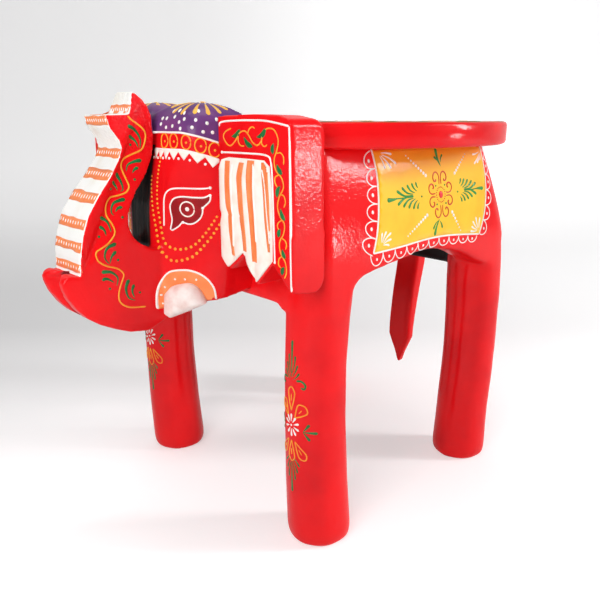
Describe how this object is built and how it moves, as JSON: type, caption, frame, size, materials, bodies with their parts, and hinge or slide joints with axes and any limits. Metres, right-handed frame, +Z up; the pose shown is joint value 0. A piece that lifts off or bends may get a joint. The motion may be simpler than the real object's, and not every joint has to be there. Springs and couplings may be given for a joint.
{
  "type": "carved stool",
  "caption": "Low carved wooden stool in the shape of an elephant: round seat on a hollow body, round corner-post legs, raised trunk, slab ears and a hanging tail.",
  "frame": {"origin": "middle of the footprint on the floor, under the centre of the bounding box", "axes": "+X towards the rump, -X towards the head, -Y the elephant's left side, +Z up"},
  "size_m": [0.3944, 0.3048, 0.3242],
  "materials": {
    "red_enamel": "glossy brushed red enamel over carved hardwood",
    "cream_paint": "pale pink-white paint over carved hardwood",
    "black_paint": "black paint inside the body",
    "bare_wood": "bare hardwood dowel",
    "steel": "zinc-plated steel screw"
  },
  "bodies": {
    "root": {"seat": "red_enamel", "front_panel": "red_enamel", "rear_panel": "red_enamel", "head_block": "red_enamel", "trunk": "red_enamel", "tail": "red_enamel", "left_side_panel": "red_enamel", "right_side_panel": "red_enamel", "left_ear": "red_enamel", "right_ear": "red_enamel", "front_left_leg": "red_enamel", "front_right_leg": "red_enamel", "rear_left_leg": "red_enamel", "rear_right_leg": "red_enamel", "left_cheek_boss": "cream_paint", "right_cheek_boss": "cream_paint", "left_seat_cleat": "black_paint", "right_seat_cleat": "black_paint", "side_panel_dowels": "bare_wood", "end_panel_dowels": "bare_wood", "ear_dowels": "bare_wood", "neck_dowels": "bare_wood", "trunk_dowels": "bare_wood", "tail_dowels": "bare_wood", "seat_screws": "steel"}
  },
  "joints": []
}
